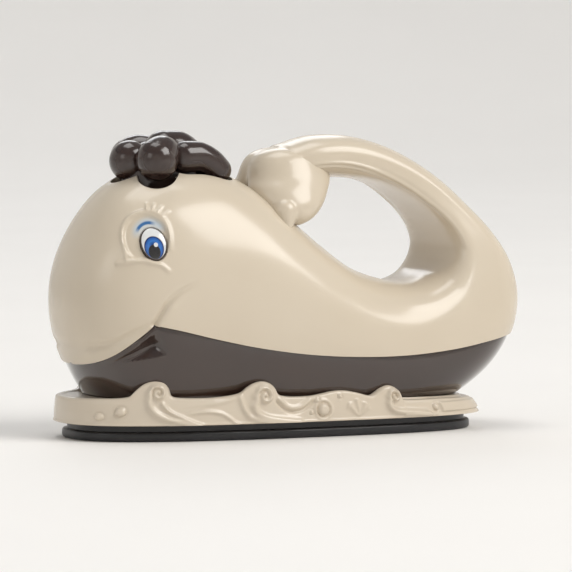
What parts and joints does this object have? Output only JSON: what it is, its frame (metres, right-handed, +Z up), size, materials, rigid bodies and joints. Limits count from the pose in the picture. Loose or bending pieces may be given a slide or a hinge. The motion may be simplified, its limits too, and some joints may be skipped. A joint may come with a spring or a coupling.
{
  "type": "toy iron",
  "caption": "Whale-shaped toy iron with a curled tail as its handle, a spring-loaded tuft button, printed eyes, a brown skirt, a scroll-wave trim and a stepped black sole with a battery door.",
  "frame": {"origin": "middle of the footprint of the bounding box, on the plane of the sole", "axes": "+X from the nose to the back of the tail bend, +Y across to the right shell, +Z up from the sole"},
  "size_m": [0.16, 0.0654, 0.0982],
  "materials": {
    "cream_plastic": "moulded ABS with a soft gloss",
    "skirt_brown": "moulded ABS, high gloss",
    "tuft_brown": "moulded ABS, high gloss",
    "sole_black": "moulded ABS, gloss",
    "eye_print": "white plastic with a printed blue iris, under clear varnish",
    "zinc_steel": "zinc-plated steel",
    "cell_wrap": "printed film over a steel can",
    "board_green": "green solder mask",
    "chip_black": "black epoxy",
    "cone_paper": "pressed paper",
    "guide_cream": "moulded POM, satin"
  },
  "bodies": {
    "iron": {"sole": "sole_black", "trim": "cream_plastic", "skirt": "skirt_brown", "body_left": "cream_plastic", "body_right": "cream_plastic", "eye_left": "eye_print", "eye_right": "eye_print", "battery_door": "sole_black", "door_screw": "zinc_steel", "sole_screws": "zinc_steel", "body_screws": "zinc_steel", "battery_left": "cell_wrap", "battery_right": "cell_wrap", "battery_springs": "zinc_steel", "battery_plates": "zinc_steel", "speaker_frame": "zinc_steel", "speaker_cone": "cone_paper", "speaker_magnet": "zinc_steel", "circuit_board": "board_green", "board_screws": "zinc_steel", "sound_chip": "chip_black", "button_guide": "guide_cream", "guide_screws": "zinc_steel", "return_spring": "zinc_steel", "switch_board": "board_green", "switch_board_screws": "zinc_steel", "button_switch": "chip_black", "power_switch": "zinc_steel"},
    "tuft_button": {"tuft": "tuft_brown", "button_plunger": "guide_cream", "plunger_screw": "zinc_steel"},
    "power_knob": {"switch_knob": "sole_black"}
  },
  "joints": [
    {"name": "tuft_press", "type": "slide", "parent": "iron", "child": "tuft_button", "axis": [0, 0, -1], "range_m": [0, 0.0025], "stiffness_N_per_m": 400, "springref_m": -0.002, "deforming": ["return_spring"]},
    {"name": "power_slide", "type": "slide", "parent": "iron", "child": "power_knob", "axis": [0, 1, 0], "range_m": [0, 0.003]}
  ]
}
